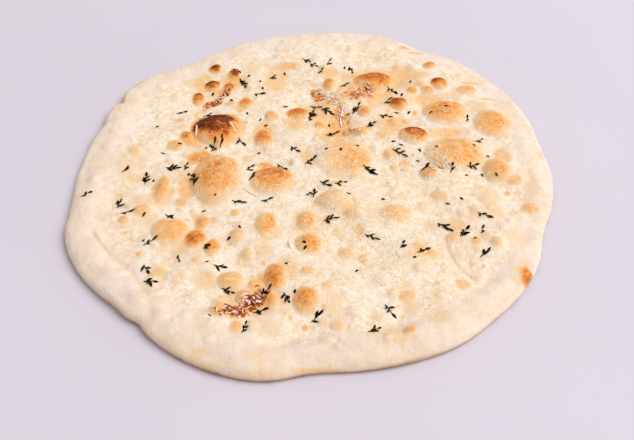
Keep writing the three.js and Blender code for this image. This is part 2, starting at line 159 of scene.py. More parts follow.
# Places that coloured without rising: x, y, width, depth, how brown they are.
GOLDEN_PATCHES = [
    (43, -128, 28, 25, 0.15), (-119, 8, 22, 36, 0.14), (-27, 98, 20, 29, 0.21), (-94, -18, 16, 33, 0.26),
    (117, -85, 13, 22, 0.14), (107, -28, 14, 35, 0.16), (-15, -81, 15, 20, 0.21),
    (52, -105, 15, 24, 0.15), (21, -35, 15, 24, 0.20), (84, -48, 13, 25, 0.20), (119, 15, 15, 19, 0.23),
    (119, -56, 16, 22, 0.12), (110, 64, 15, 20, 0.15), (62, -67, 16, 18, 0.26), (-61, -88, 16, 14, 0.18),
    (-41, -71, 12, 16, 0.18), (-64, -120, 12, 17, 0.10), (-30, -67, 13, 13, 0.15),
    (-50, 64, 10, 12, 0.26), (-89, -83, 12, 10, 0.22), (95, 110, 8, 11, 0.13), (-53, 45, 10, 13, 0.41),
    (21, -65, 8, 15, 0.19), (68, -44, 10, 11, 0.18), (67, -102, 8, 15, 0.13), (49, 17, 14, 14, 0.22),
    (95, -38, 11, 13, 0.16), (81, -70, 8, 13, 0.14), (2, -84, 12, 8, 0.15), (67, -19, 7, 12, 0.15),
    (12, -21, 9, 8, 0.29), (26, -50, 9, 13, 0.20), (-44, -57, 8, 10, 0.17), (106, -61, 8, 10, 0.19),
    (74, -23, 5, 13, 0.21), (-2, 6, 8, 11, 0.21), (-44, 13, 7, 7, 0.19), (33, 40, 10, 10, 0.25),
    (54, -35, 7, 8, 0.24), (-46, 107, 18, 29, 0.12), (10, -103, 13, 28, 0.13), (-74, 13, 17, 13, 0.50),
    (-79, 30, 17, 20, 0.34), (-33, 38, 17, 24, 0.28), (-14, 47, 20, 18, 0.25), (-125, 90, 14, 8, 0.40),
    (-133, 70, 9, 22, 0.26), (-60, -146, 30, 9, 0.16), (-29, -152, 26, 8, 0.14), (-4, -154, 34, 8, 0.14),
    (-28, -141, 22, 17, 0.12), (118, 74, 16, 4, 0.22), (108, 92, 14, 4, 0.22), (73, 128, 16, 5, 0.20),
    (-104, -27, 26, 20, 0.14), (36, 86, 46, 46, 0.29), (62, 97, 34, 26, 0.24), (78, 72, 26, 18, 0.27),
    (2, 58, 30, 26, 0.24), (14, 46, 30, 44, 0.32), (8, 68, 17, 14, 0.30), (52, 46, 32, 26, 0.24),
    (86, 38, 26, 14, 0.26), (-34, -104, 48, 30, 0.20), (-30, -120, 30, 20, 0.13),
    (-76, -60, 30, 26, 0.18), (-101, -42, 20, 22, 0.15), (-3, -44, 26, 28, 0.17),
    (-28, -52, 20, 18, 0.18), (-79, 90, 20, 26, 0.23), (-28, 89, 16, 16, 0.24), (-112, -4, 13, 14, 0.18),
    (-58, 92, 18, 20, 0.33), (-67, 82, 15, 15, 0.26), (-79, -12, 12, 28, 0.30), (57, -80, 12, 11, 0.13),
    (59, -70, 12, 11, 0.20), (37, -37, 20, 26, 0.13), (-62, -140, 15, 12, 0.16), (10, 102, 14, 17, 0.25),
    (97, 81, 11, 18, 0.17), (-32, -91, 11, 16, 0.34), (44, 35, 13, 12, 0.21), (119, -76, 11, 12, 0.14),
    (-6, 12, 8, 17, 0.22), (-31, 6, 11, 7, 0.40), (2, -149, 26, 7, 0.22), (134, -15, 14, 46, 0.12),
    (128, 60, 20, 40, 0.09), (67, -116, 17, 14, 0.14), (-70, -40, 13, 12, 0.18),
]
PATCH_REACH = (1.4, 0.3)  # where a patch's colour starts and is full, as shares of its half width
BLISTER_MERGE = 3  # power that joins blisters which touch, without one standing on the other
BLISTER_STEEPNESS = 0.85  # 0.5 is half an ellipsoid, and 1 a shallow dish turned over

# ---- The toppings ----

# Sprigs of thyme: x, y, direction of the stem in degrees, number of leaves.
THYME_SPRIGS = [
    (-91, 59, 25, 2), (-56, 103, -40, 3), (-51, 91, -60, 5), (-31, 97, 50, 2), (-40, 78, 0, 2),
    (-73, 56, 45, 2), (-7, 116, -30, 3), (-2, 111, -30, 2), (9, 113, 70, 2), (3, 103, 45, 2),
    (25, 107, -70, 4), (19, 87, 45, 2), (-1, 65, -15, 2), (-3, 54, 75, 8), (7, 60, -30, 5),
    (27, 61, 60, 6), (36, 82, -45, 2), (48, 70, 40, 2), (46, 54, 0, 3), (36, 44, 40, 4),
    (52, 84, -50, 4), (101, 51, 75, 2), (106, 30, 25, 2), (-91, 4, 0, 5), (-82, 4, 80, 3),
    (-78, -3, -50, 3), (-75, -10, 90, 5), (-66, 23, 75, 4), (-61, 26, 80, 2), (-49, 31, -55, 2),
    (-42, 2, 55, 3), (-40, -7, 60, 2), (-48, -26, -15, 3), (-31, -25, 15, 2), (-22, 5, -45, 2),
    (-14, 22, -50, 3), (-4, 8, 40, 5), (10, 38, 30, 4), (34, 2, -30, 6), (5, -10, -40, 3),
    (15, -11, 15, 3), (-1, -20, 85, 3), (53, 18, -40, 5), (68, 2, 50, 2), (85, -1, 75, 2),
    (98, 4, 25, 4), (100, -38, -30, 3), (-120, 1, 60, 2), (-106, -6, 90, 6), (-140, -23, 30, 3),
    (-119, -30, 75, 3), (-114, -37, 15, 2), (-88, -38, -40, 3), (-97, -61, 45, 3), (-96, -80, -60, 3),
    (-93, -90, 0, 4), (-78, -73, -75, 2), (-63, -64, -75, 3), (-55, -79, 0, 3), (-49, -96, -25, 4),
    (-16, -101, -65, 5), (-38, -122, 75, 4), (0, -115, 45, 3), (-28, -96, 40, 3), (-31, -111, 15, 4),
    (8, -42, 15, 5), (32, -55, -25, 4), (76, -46, -40, 6), (87, -52, 55, 5), (98, -51, 75, 2),
    (61, -68, 35, 4), (97, -69, 45, 4), (40, -109, -60, 4), (31, -124, 30, 5), (50, -64, 65, 2),
]
THYME_SEED = 5
LOOSE_LEAVES_REACH = 118  # how far from the middle single leaves lie
# The least value and the spread above it: a leaf's size as a share of the usual, its width for its size.
LOOSE_LEAF_SIZE = (0.45, 0.35)
SPRIG_LEAF_SIZE = (0.5, 0.6)
LEAF_STRETCH = (0.8, 0.4)
LEAF_ARCH = (0.03, 0.15)  # how far a leaf rises in its middle, as a share of its length
LEAF_BEND = 50  # degrees between a leaf that bends farthest left and one that bends farthest right
LEAF_HALF_THICKNESS = 0.22
LOOSE_LEAF_LIFT = 0.2
SPRIG_LEAF_LIFT = 0.3
STEM_LENGTH = (1.6, 2.2)  # of a sprig without leaves
STEM_FOR_LEAF = 0.95  # how much longer the stem is for every leaf
STEM_HALF_THICKNESS = (0.26, 0.18)  # at its base and at its tip
STEM_BEND = 60  # the same for a stem
STEM_LIFT = 0.35
SIDE_LEAF_TURN = (15, 50)  # how far the leaves beside the stem turn away from it, in degrees
TIP_LEAF_TURN = 20  # degrees between the directions farthest left and right of the leaf at the tip
# Grated cheese lies thickest here: x, y, reach, share of the shreds.
CHEESE_DRIFTS = [
    (38, -62, 24, 3), (30, -28, 26, 2.5), (58, 26, 14, 1.5), (-47, -6, 9, 1), (-16, 31, 18, 1),
    (78, 0, 9, 1), (-10, -30, 40, 2), (10, 60, 45, 2), (-20, 0, 85, 4), (60, -20, 60, 3),
    (-61, 0, 9, 0.4), (18, 12, 14, 0.5), (89, 15, 14, 0.8), (87, 60, 10, 0.4),
]
# Clumps of cheese that melted and crisped: x, y, half length, half width, direction in degrees, how darkly
# they stained the dough from 0 to 1, number of shreds.
CRISP_CLUMPS = [
    (-70, 70, 8, 3.5, 38, 0.80, 13), (-63, 79, 6, 3, 45, 0.75, 8), (2, 78, 9, 5, 105, 0.65, 12),
    (12, 73, 8, 6, 0, 0.3, 26), (29, 77, 12, 6, 5, 0.58, 18), (17, 56, 13, 4, 93, 0.42, 24),
    (22, 40, 7, 3.5, 10, 0.6, 9), (-44, -111, 8, 4.5, 5, 0.94, 38), (-32, -102, 10, 5, 55, 0.94, 40),
    (78, 2, 7, 4, 20, 0.3, 20), (36, 84, 6, 4, 140, 0.5, 6),
]
STAIN_REACH = (1.35, 0.5)  # where a clump's stain starts and is full, as shares of its half length
CHARRED_SHARE = 0.6  # share of the shreds that is charred in a clump that stained fully
CHARRED_TINT = 0.5  # where the tints of the charred shreds start
CRISP_TINT = 0.25  # the darkest of the others
CRISP_LIFT = 0.25  # how much higher the others lie
CHEESE_SEED = 23
CHEESE_REACH = 128  # how far from the middle shreds lie
# Where the top is brownest, the share of the shreds that melted away, and the tint of the others.
MELTED_ON_BROWN = 0.9
# The least value and the spread above it: a shred's length and its width, as shares of the usual.
SHRED_SIZE = (0.3, 0.8)
CRISP_SHRED_SIZE = (0.35, 0.55)
SHRED_STRETCH = (0.8, 0.6)
SHRED_TINT = 0.3  # the darkest tint of the shreds that didn't brown
SHRED_SUNK = -0.03
SHRED_BEND = 110  # degrees between a shred that curls farthest left and one that curls farthest right
SHRED_TAPER = (0.45, 0.95, 1.0, 0.95, 0.45)
SHRED_FLATNESS = 0.4  # height of a shred as a share of its width
CRISP_WIDTH = 1.25  # how much wider the shreds of the clumps are
RIBBON_WIDTH = 2.0  # how much wider the ribbons are
RIBBON_BEND = 40  # the same for a ribbon
RIBBON_LIFT = 0.5
RIBBON_TINT = 0.12
# Broad ribbons of cheese that stand out alone: x, y, direction in degrees, length.
CHEESE_RIBBONS = [
    (-78, 37, 88, 9), (-54, 38, -55, 8), (-40, -18, -30, 10), (14, 76, 20, 9), (18, 60, 80, 10),
    (17, 50, 95, 9), (-38, -101, 25, 8), (-15, -62, 100, 6),
]

# ---- The stage ----

SURROUND_COLOUR = (1.0, 0.99, 0.975)
KEY_COLOUR = (1.0, 0.985, 0.96)
KEY_SIZE = 3.84  # metres across
KEY_PLACE = (2.56, -0.08, 3.60)  # metres; the light is turned to the frame's origin
CAMERA_HEIGHT = 46  # degrees above the ground
CAMERA_DISTANCE = 0.544  # metres from the point it looks at
CAMERA_LOOK_AT = (1.23, -37.76, 0)  # millimetres from the frame's origin
SENSOR_WIDTH = 36
FOCAL_LENGTH = 51.1

# ---- Values over the plan ----


def smoothstep(low, high, value):
    t = np.clip((value - low) / (high - low), 0.0, 1.0)
    return t * t * (3.0 - 2.0 * t)


def smooth_random(x, y, size, seed):
    """Smooth random values from -1 to 1 over a plane, with hills and hollows of about the given size."""
    turned_x, turned_y = 0.8 * x - 0.6 * y, 0.6 * x + 0.8 * y
    total = 0.0
    for part, (a, b) in enumerate(((x, y), (turned_x, turned_y))):
        u, v = a / size, b / size
        i, j = np.floor(u), np.floor(v)
        s, t = smoothstep(0.0, 1.0, u - i), smoothstep(0.0, 1.0, v - j)

        def corner(di, dj):
            n = np.sin((i + di) * 127.1 + (j + dj) * 311.7 + (seed + 7 * part) * 74.7) * 43758.5453
            return 2.0 * (n - np.floor(n)) - 1.0

        near = corner(0, 0) * (1 - s) + corner(1, 0) * s
        far = corner(0, 1) * (1 - s) + corner(1, 1) * s
        total = total + near * (1 - t) + far * t
    return 0.7 * total


def scattered(rng, least, spread):
    """A random value from the least one to a spread above it."""
    return least + spread * rng.random()


def unevenness(x, y, layers):
    """The sum of layers of smooth random values."""
    return sum(height * smooth_random(x, y, size, seed) for size, seed, height in layers)


class Form:
    """The shape of the bread, in millimetres: radii of its edge, and heights over points of its plan."""

    def __init__(self, bread):
        self.crumb = bread.crumb_thickness / MM
        self.rim_height = bread.rim_height / MM
        self.rim_swing = bread.rim_swing / MM
        self.rim_width = bread.rim_width / MM
        self.rim_width_swing = bread.rim_width_swing / MM
        self.swell_depth = bread.swell / MM
        small = SMALL_BLISTERS + self._bubbles(bread.bubbles)
        small = [(*blister, SMALL_BLISTER_SIDE, SMALL_BLISTER_FADE) for blister in small]
        self.blisters = np.array(LARGE_BLISTERS + small).T
        around = np.radians(np.arange(0.0, 360.0, 0.25))
        outline = self.edge(around)[:, None] * np.stack([np.cos(around), np.sin(around)], axis=1)
        self.centre = (outline.min(axis=0) + outline.max(axis=0)) / 2

    @staticmethod
    def _bubbles(count):
        """Small bubbles all over the skin, most of them inside the rim."""
        rng = np.random.default_rng(BUBBLE_SEED)
        bubbles = []
        for _ in range(count):
            r = BUBBLES_REACH * math.sqrt(rng.random())
            angle = 2 * math.pi * rng.random()
            size = BUBBLE_SIZE[0] + BUBBLE_SIZE[1] * rng.random() ** 2
            rise = scattered(rng, *BUBBLE_RISE) * size
            brown = BUBBLE_BROWN * rng.random() ** 1.8
            brown *= 1.0 if r < PALE_BUBBLES_FROM else PALE_BUBBLES_SHARE
            width = size * scattered(rng, *BUBBLE_STRETCH)
            depth = size * scattered(rng, *BUBBLE_STRETCH)
            bubbles.append((r * math.cos(angle), r * math.sin(angle), width, depth, rise, brown))
        return bubbles

    @staticmethod
    def edge(angle):
        """Distance to the edge: a smooth closed curve through the radii, less the nicks."""
        radii = np.array(EDGE_RADII, float)
        count = len(radii)
        degrees = np.degrees(angle) % 360
        place = degrees * count / 360
        i = np.floor(place).astype(int)
        t = place - i
        a, b, c, d = (radii[(i + k) % count] for k in (-1, 0, 1, 2))
        radius = b + 0.5 * t * (c - a + t * (2 * a - 5 * b + 4 * c - d + t * (3 * (b - c) + d - a)))
        for direction, depth, half_width in EDGE_NICKS:
            away = ((degrees - direction + 180) % 360 - 180) / half_width
            radius = radius - depth * np.exp(-away * away)
        return radius

    def rim(self, angle):
        """Height of the rim: thick on one side, with lumps of its own."""
        height = self.rim_height + self.rim_swing * np.cos(angle - math.radians(RIM_THICK_SIDE))
        for count, start, lump in RIM_LUMPS:
            height = height + lump * np.sin(count * angle + start)
        return height

    def rim_foot(self, angle):
        """How far in from the edge the rim reaches."""
        return self.rim_width + self.rim_width_swing * np.cos(angle - math.radians(RIM_THICK_SIDE))

    def swell(self, x, y):
        """Slow waves in the dough."""
        long = np.sin(x / 11 + y / 17 + 1) + np.sin(y / 9 - x / 23)
        short = np.sin(x / 6.5 + 2) * np.cos(y / 7.5)
        return self.swell_depth * (long + 0.7 * short)

    @staticmethod
    def creases(x, y):
        """How far the creases draw the top in."""
        total = np.zeros(np.shape(x))
        for line, crease_depth, half_width in CREASES:
            away = np.full(np.shape(x), np.inf)
            for (x0, y0), (x1, y1) in zip(line, line[1:]):
                dx, dy = x1 - x0, y1 - y0
                t = np.clip(((x - x0) * dx + (y - y0) * dy) / (dx * dx + dy * dy), 0, 1)
                away = np.minimum(away, np.hypot(x - x0 - t * dx, y - y0 - t * dy))
            total += crease_depth * np.exp(-((away / half_width) ** 2))
        return total

    def over_blisters(self, result, *places):
        """The result of a function of every place and every blister, for some places at a time."""
        parts = np.array_split(np.stack(places), len(places[0]) // 2000 + 1, axis=1)
        return np.concatenate([result(*part[:, :, None], *self.blisters) for part in parts])

    def blister_rise(self, x, y):
        """How far the blisters and bubbles lift the top."""

        def lifted(x, y, cx, cy, width, depth, rise, *_):
            square = ((x - cx) / (width / 2)) ** 2 + ((y - cy) / (depth / 2)) ** 2
            dome = rise * np.maximum(1 - square, 0) ** BLISTER_STEEPNESS
            return np.sum(dome**BLISTER_MERGE, axis=1) ** (1 / BLISTER_MERGE)

        return self.over_blisters(lifted, x, y)

    def top(self, x, y):
        """Height of the top."""
        angle = np.arctan2(y, x)
        inset = np.maximum(self.edge(angle) - np.hypot(x, y), 0)
        rim = self.rim(angle)
        middle = self.crumb + self.swell(x, y)
        slope = 1 - EDGE_DROP * np.maximum(1 - inset / EDGE_SLOPE, 0) ** 2
        crest = slope * (rim + (middle - rim) * smoothstep(RIM_CREST, self.rim_foot(angle), inset))
        over = 1 - np.minimum(inset / TOP_ROUND, 1)
        waist = WAIST * rim
        rounded = waist + (crest - waist) * (1 - over**SHOULDER) ** (1 / SHOULDER)
        lumps = unevenness(x, y, SKIN_LUMPS) - self.creases(x, y)
        return rounded + (1 - over) * lumps + self.blister_rise(x, y)

    def browning(self, x, y):
        """How brown the top is, from 0 to 1, with painted shade added in the creases. The dark blisters end
        sharply on their brownest side, and every other edge fades into the dough."""
        ragged = unevenness(x, y, RAGGED_BLISTERS)

        def browned(x, y, ragged, cx, cy, width, depth, rise, brown, side, fade):
            u, v = (x - cx) / (width / 2), (y - cy) / (depth / 2)
            lean = u * np.cos(np.radians(side)) + v * np.sin(np.radians(side))
            start, full = BROWN_REACH
            full = full + DARK_CORE * smoothstep(*DARK_LEVELS, brown) * smoothstep(*DARK_LEAN, lean)
            crown = smoothstep(start, full, np.hypot(u, v) + ragged)
            return np.max(brown * crown * (1 - fade * (0.5 - 0.5 * np.clip(lean, -1, 1))), axis=1)

        deepest = self.over_blisters(browned, x, y, ragged)
        # Painted shade: the creases are darkened with the brown colours, deeper for deeper creases.
        deepest = np.maximum(deepest, CREASE_PAINTED_SHADE * self.creases(x, y))
        frayed = unevenness(x, y, FRAYED_PATCHES)
        for cx, cy, width, depth, brown in GOLDEN_PATCHES:
            away = np.hypot((x - cx) / (width / 2), (y - cy) / (depth / 2))
            deepest = np.maximum(deepest, brown * smoothstep(*PATCH_REACH, away + frayed))
        return deepest

    @staticmethod
    def crisping(x, y):
        """How darkly crisped cheese stains the top, from 0 to 1."""
        ragged = unevenness(x, y, RAGGED_STAINS)
        stain = np.zeros(np.shape(x))
        for cx, cy, half_length, half_width, direction, darkness, _ in CRISP_CLUMPS:
            turn = math.radians(direction)
            along = (x - cx) * math.cos(turn) + (y - cy) * math.sin(turn)
            across = (y - cy) * math.cos(turn) - (x - cx) * math.sin(turn)
            d = np.hypot(along / half_length, across / half_width) + ragged
            stain = np.maximum(stain, darkness * smoothstep(*STAIN_REACH, d))
        return stain


# ---- Meshes ----


def new_piece(name, points, faces, form, attributes):
    """A smooth piece of the focaccia from points in millimetres, riding on the bread's body."""
    mesh = bpy.data.meshes.new(name)
    moved = (np.asarray(points, float) - (form.centre[0], form.centre[1], 0.0)) * MM
    mesh.from_pydata(moved.tolist(), [], faces)
    mesh.shade_smooth()
    for key, values in attributes.items():
        mesh.attributes.new(key, "FLOAT", "POINT").data.foreach_set("value", np.asarray(values, np.float32))
    piece = bpy.data.objects.new(name, mesh)
    bpy.context.scene.collection.objects.link(piece)
    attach(piece, "root")
    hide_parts(NODE)
    return piece


def disc_faces(rings):
    """Triangles of a disc whose ring k has 6k points, numbered outwards from its middle point."""
    faces = []
    for k in range(1, rings + 1):
        outer = 1 + 3 * k * (k - 1)
        inner = 1 + 3 * (k - 1) * (k - 2) if k > 1 else 0
        inner_count = max(6 * (k - 1), 1)
        for sector in range(6):
            for j in range(k):
                a = inner + (sector * (k - 1) + j) % inner_count
                b = outer + sector * k + j
                c = outer + (sector * k + j + 1) % (6 * k)
                faces.append((a, b, c))
                if j < k - 1:
                    faces.append((a, c, inner + (sector * (k - 1) + j + 1) % inner_count))
    return faces


def bread_skin(form, rings, rounding_steps=9, under_steps=5):
    """Points and faces of the whole skin, and for each point 1 where it is underneath."""
    around = 6 * rings
    plan = [np.zeros((1, 2))]
    for k in range(1, rings + 1):
        angle = 2 * np.pi * np.arange(6 * k) / (6 * k)
        r = (k / rings) * (form.edge(angle) - TOP_ROUND)
        plan.append(np.stack([r * np.cos(angle), r * np.sin(angle)], axis=1))
    angle = 2 * np.pi * np.arange(around) / around
    edge = form.edge(angle)
    for k in range(1, rounding_steps + 1):
        r = edge - TOP_ROUND * (1 - math.sin(math.pi / 2 * k / rounding_steps))
        plan.append(np.stack([r * np.cos(angle), r * np.sin(angle)], axis=1))
    top = np.concatenate(plan)
    top = np.column_stack([top, form.top(top[:, 0], top[:, 1])])

    under = []
    for k in range(1, under_steps + 1):
        turn = math.pi / 2 * k / under_steps
        r = edge - UNDER_ROUND * (1 - math.cos(turn))
        height = WAIST * form.rim(angle) * (1 - math.sin(turn))
        under.append(np.column_stack([r * np.cos(angle), r * np.sin(angle), height]))
    under.append(np.zeros((1, 3)))
    under = np.concatenate(under)

    faces = disc_faces(rings)
    first = 1 + 3 * rings * (rings - 1)
    for band in range(rounding_steps + under_steps):
        inner, outer = first + band * around, first + (band + 1) * around
        for j in range(around):
            following = (j + 1) % around
            faces.append((inner + j, outer + j, outer + following, inner + following))
    last = first + (rounding_steps + under_steps) * around
    centre = last + around
    faces.extend((centre, last + (j + 1) % around, last + j) for j in range(around))
    points = np.concatenate([top, under])
    underneath = np.concatenate([np.zeros(len(top)), np.ones(len(under))])
    return points, faces, underneath


class Strands:
    """Collects many flattened tubes, each along its own path, into one mesh."""

    def __init__(self, sides):
        self.turns = 2 * np.pi * np.arange(sides) / sides
        self.sides = sides
        self.points, self.faces, self.tints, self.count = [], [], [], 0

    def add(self, path, across, half_width, half_height, tint):
        """One tube: its path, the direction of its width, and half its width and height along the path."""
        along = np.gradient(path, axis=0)
        up = np.cross(along, across)
        up /= np.linalg.norm(up, axis=1, keepdims=True)
        side = np.cross(up, along)
        side /= np.linalg.norm(side, axis=1, keepdims=True)
        wide = np.multiply.outer(half_width, np.cos(self.turns))[:, :, None] * side[:, None, :]
        high = np.multiply.outer(half_height, np.sin(self.turns))[:, :, None] * up[:, None, :]
        rings = path[:, None, :] + wide + high
        self.points.append(rings.reshape(-1, 3))
        start, sides = self.count, self.sides
        for ring in range(len(path) - 1):
            for j in range(sides):
                a, b = start + ring * sides + j, start + ring * sides + (j + 1) % sides
                self.faces.append((a, b, b + sides, a + sides))
        end = start + (len(path) - 1) * sides
        self.faces.append(tuple(start + j for j in reversed(range(sides))))
        self.faces.append(tuple(end + j for j in range(sides)))
        self.count = end + sides
        self.tints.extend([tint] * (self.count - start))

    def piece(self, name, form, slot):
        return new_piece(name, np.concatenate(self.points), self.faces, form, {"tint": self.tints})


def heading(degrees):
    return np.array([math.cos(math.radians(degrees)), math.sin(math.radians(degrees))])


def laid_path(form, start, direction, length, steps, bend, lift):
    """A path over the top from a start point, bending sideways by some degrees, lifted above the top."""
    share = np.linspace(0, 1, steps)
    turns = np.radians(direction + bend * (share - 0.5))
    step = length / (steps - 1)
    x = start[0] + step * np.concatenate([[0], np.cumsum(np.cos(turns[1:]))])
    y = start[1] + step * np.concatenate([[0], np.cumsum(np.sin(turns[1:]))])
    return np.column_stack([x, y, form.top(x, y) + lift])


def strewn_path(strewing, middle, direction, length, steps, bends, lift):
    """A path with its middle about a place, with a bend to either side by chance."""
    start = middle - heading(direction) * length / 2
    bend = bends * (strewing.rng.random() - 0.5)
    return laid_path(strewing.form, start, direction, length, steps, bend, lift)


# ---- Materials ----

# Colours of the crust from dough that only just coloured to nearly burnt.
TOASTED_COLOURS = [
    (0.0, "#e9d3b6"), (0.2, "#ebc496"), (0.38, "#eeaf6c"), (0.55, "#e39147"), (0.72, "#be6423"),
    (0.87, "#853a10"), (1.0, "#4a1806"),
]
CRISPED_COLOURS = [
    (0.10, "#32100a"), (0.17, "#8a3a18"), (0.25, "#c06a2a"), (0.34, "#e0985a"), (0.48, "#efbd7c"),
]
UNDERSIDE_COLOURS = [(0.42, "#e0b389"), (0.68, "#ab6c36")]
GRATED_COLOURS = [(0.0, "#fff3de"), (0.35, "#fae3bd"), (0.7, "#efb877"), (1.0, "#d98f45")]
CRISPED_CHEESE_COLOURS = [
    (0.0, "#fbebe6"), (0.3, "#f3cdb6"), (0.55, "#d88a50"), (0.78, "#84371a"), (1.0, "#2c0e08"),
]


def linear(hex_colour):
    """The linear colour of an sRGB hex value."""
    channels = [int(hex_colour[i : i + 2], 16) / 255 for i in (1, 3, 5)]
    return [c / 12.92 if c <= 0.04045 else ((c + 0.055) / 1.055) ** 2.4 for c in channels]


def pattern_scale(size_mm):
    """The scale that gives a pattern features of a real size, over coordinates in metres."""
    return 1.0 / (size_mm * MM)


class Nodes:
    """A new material's nodes."""

    def __init__(self, name):
        self.material = bpy.data.materials.new(name)
        self.material.use_nodes = True
        self.tree = self.material.node_tree
        self.shader = self.tree.nodes["Principled BSDF"]
        self.where = self.add("TexCoord", {}, output="Object")

    def give(self, sockets, values):
        """Gives sockets their values, or links to them where a value is another node's output."""
        for key, value in values.items():
            if isinstance(value, bpy.types.NodeSocket):
                self.tree.links.new(value, sockets[key])
            elif getattr(sockets[key], "type", "") == "RGBA":
                sockets[key].default_value = (*value, 1.0)
            else:
                sockets[key].default_value = value

    def add(self, kind, inputs, output=0, stops=(), **settings):
        """Adds a node with its settings, a colour ramp's stops and its inputs, and returns an output."""
        node = self.tree.nodes.new("ShaderNode" + kind)
        for key, value in settings.items():
            setattr(node, key, value)
        for number, (place, hex_colour) in enumerate(stops):
            if number >= len(node.color_ramp.elements):
                node.color_ramp.elements.new(place)
            node.color_ramp.elements[number].position = place
            node.color_ramp.elements[number].color = (*linear(hex_colour), 1.0)
        self.give(node.inputs, inputs)
        return node.outputs[output]


# Sockets of the mix node when it mixes colours, and the settings that make it do so.
FACTOR, FIRST, SECOND = 0, 6, 7
COLOURS = {"output": 2, "data_type": "RGBA"}
# Settings of a range that starts and ends smoothly.
SMOOTH = {"interpolation_type": "SMOOTHSTEP"}


def crust_material(bread):
    """Baked wheat dough: a dry, matte, slightly translucent skin, pale where it stayed low and toasted
    orange-brown in fine grains where it blistered."""
    nodes = Nodes("baked_dough")
    add = nodes.add
    speckle, mottle, blotch, cloud = (
        add(
            "TexNoise",
            {"Vector": nodes.where, "Scale": pattern_scale(size), "Detail": detail, "Roughness": roughness},
        )
        for size, detail, roughness in ((1.3, 4, 0.75), (3.5, 5, 0.65), (9, 4, 0.6), (30, 4, 0.6))
    )
    toast_and_crease_shade, crisp, rim, under = (
        add("Attribute", {}, output="Fac", attribute_name=name)
        for name in ("toast_and_crease_shade", "crisp", "rim", "under")
    )

    # The middle is pale with warmer clouds, small golden patches and a melted film of cheese in flecks.
    clouded = add("MapRange", {"Value": cloud, "From Min": 0.36, "From Max": 0.64}, **SMOOTH)
    middle = add(
        "Mix", {FACTOR: clouded, FIRST: bread.pale_colour, SECOND: bread.warm_colour}, **COLOURS
    )
    patches = add("MapRange", {"Value": blotch, "From Min": 0.44, "From Max": 0.70, "To Max": 0.95})
    middle = add("Mix", {FACTOR: patches, FIRST: middle, SECOND: bread.golden_colour}, **COLOURS)
    grit = add("Math", {0: speckle, 1: mottle}, operation="ADD")
    flecks = add("MapRange", {"Value": grit, "From Min": 0.88, "From Max": 1.2, "To Max": 0.85})
    middle = add("Mix", {FACTOR: flecks, FIRST: middle, SECOND: bread.film_colour}, **COLOURS)
    # The rim is cooler and plainer, with slow changes towards the colour of the middle.
    rim_dough = add(
        "Mix", {FACTOR: clouded, FIRST: bread.rim_colour, SECOND: bread.rim_warm_colour}, **COLOURS
    )
    floury = add(
        "MapRange", {"Value": blotch, "From Min": 0.62, "From Max": 0.38, "To Max": 0.3}, **SMOOTH
    )
    rim_dough = add("Mix", {FACTOR: floury, FIRST: rim_dough, SECOND: bread.film_colour}, **COLOURS)
    dough = add("Mix", {FACTOR: rim, FIRST: middle, SECOND: rim_dough}, **COLOURS)

    # Grains of darker and paler crust, only where the dough has browned.
    grain = add(
        "MapRange", {"Value": grit, "From Min": 0.7, "From Max": 1.3, "To Min": -0.25, "To Max": 0.25}
    )
    browned = add("MapRange", {"Value": toast_and_crease_shade, "From Min": 0.0, "From Max": 0.4})
    grain = add("Math", {0: grain, 1: browned}, operation="MULTIPLY")
    # These colours also carry the painted shade of the creases.
    brown = add("Math", {0: toast_and_crease_shade, 1: grain}, operation="ADD")
    toasted = add("ValToRGB", {"Fac": brown}, output="Color", stops=TOASTED_COLOURS)
    share = add("MapRange", {"Value": brown, "From Min": 0.0, "From Max": 0.22}, **SMOOTH)
    colour = add("Mix", {FACTOR: share, FIRST: dough, SECOND: toasted}, **COLOURS)

    # Cheese that ran and crisped stains the crust red-brown.
    clot = add(
        "TexNoise", {"Vector": nodes.where, "Scale": pattern_scale(1.6), "Detail": 4, "Roughness": 0.75}
    )
    clot = add("Math", {0: crisp, 1: -0.33, 2: clot}, operation="MULTIPLY_ADD")
    crisped = add("ValToRGB", {"Fac": clot}, output="Color", stops=CRISPED_COLOURS)
    stain = add("MapRange", {"Value": crisp, "From Max": 0.6}, **SMOOTH)
    colour = add("Mix", {FACTOR: stain, FIRST: colour, SECOND: crisped}, **COLOURS)

    # The underside is baked in patches by the hot surface it lay on. The flank of the edge takes the same
    # colours, partly as real browning of its foot and partly as painted shade.
    baked = add("ValToRGB", {"Fac": blotch}, output="Color", stops=UNDERSIDE_COLOURS)
    colour = add("Mix", {FACTOR: under, FIRST: colour, SECOND: baked}, **COLOURS)

    # Fine relief: pores, with the mottling and the speckles in it.
    pores = add(
        "TexVoronoi",
        {"Vector": nodes.where, "Scale": pattern_scale(1.8)},
        output="Distance",
        feature="SMOOTH_F1",
    )
    relief = add("Math", {0: pores, 1: 0.4, 2: mottle}, operation="MULTIPLY_ADD")
    relief = add("Math", {0: speckle, 1: 0.5, 2: relief}, operation="MULTIPLY_ADD")
    strength = add("MapRange", {"Value": rim, "To Min": 0.7, "To Max": 0.75})
    normal = add("Bump", {"Height": relief, "Strength": strength, "Distance": 0.6 * MM})
    roughness = add(
        "MapRange", {"Value": brown, "From Min": 0.2, "From Max": 1.0, "To Min": 0.85, "To Max": 0.6}
    )
    nodes.give(
        nodes.shader.inputs,
        {
            "Base Color": colour,
            "Roughness": roughness,
            "Normal": normal,
            "Subsurface Weight": 0.06,
            "Subsurface Radius": (1.0, 0.62, 0.36),
            "Subsurface Scale": 1.6 * MM,
            "Specular IOR Level": 0.2,
        },
    )
    return nodes.material


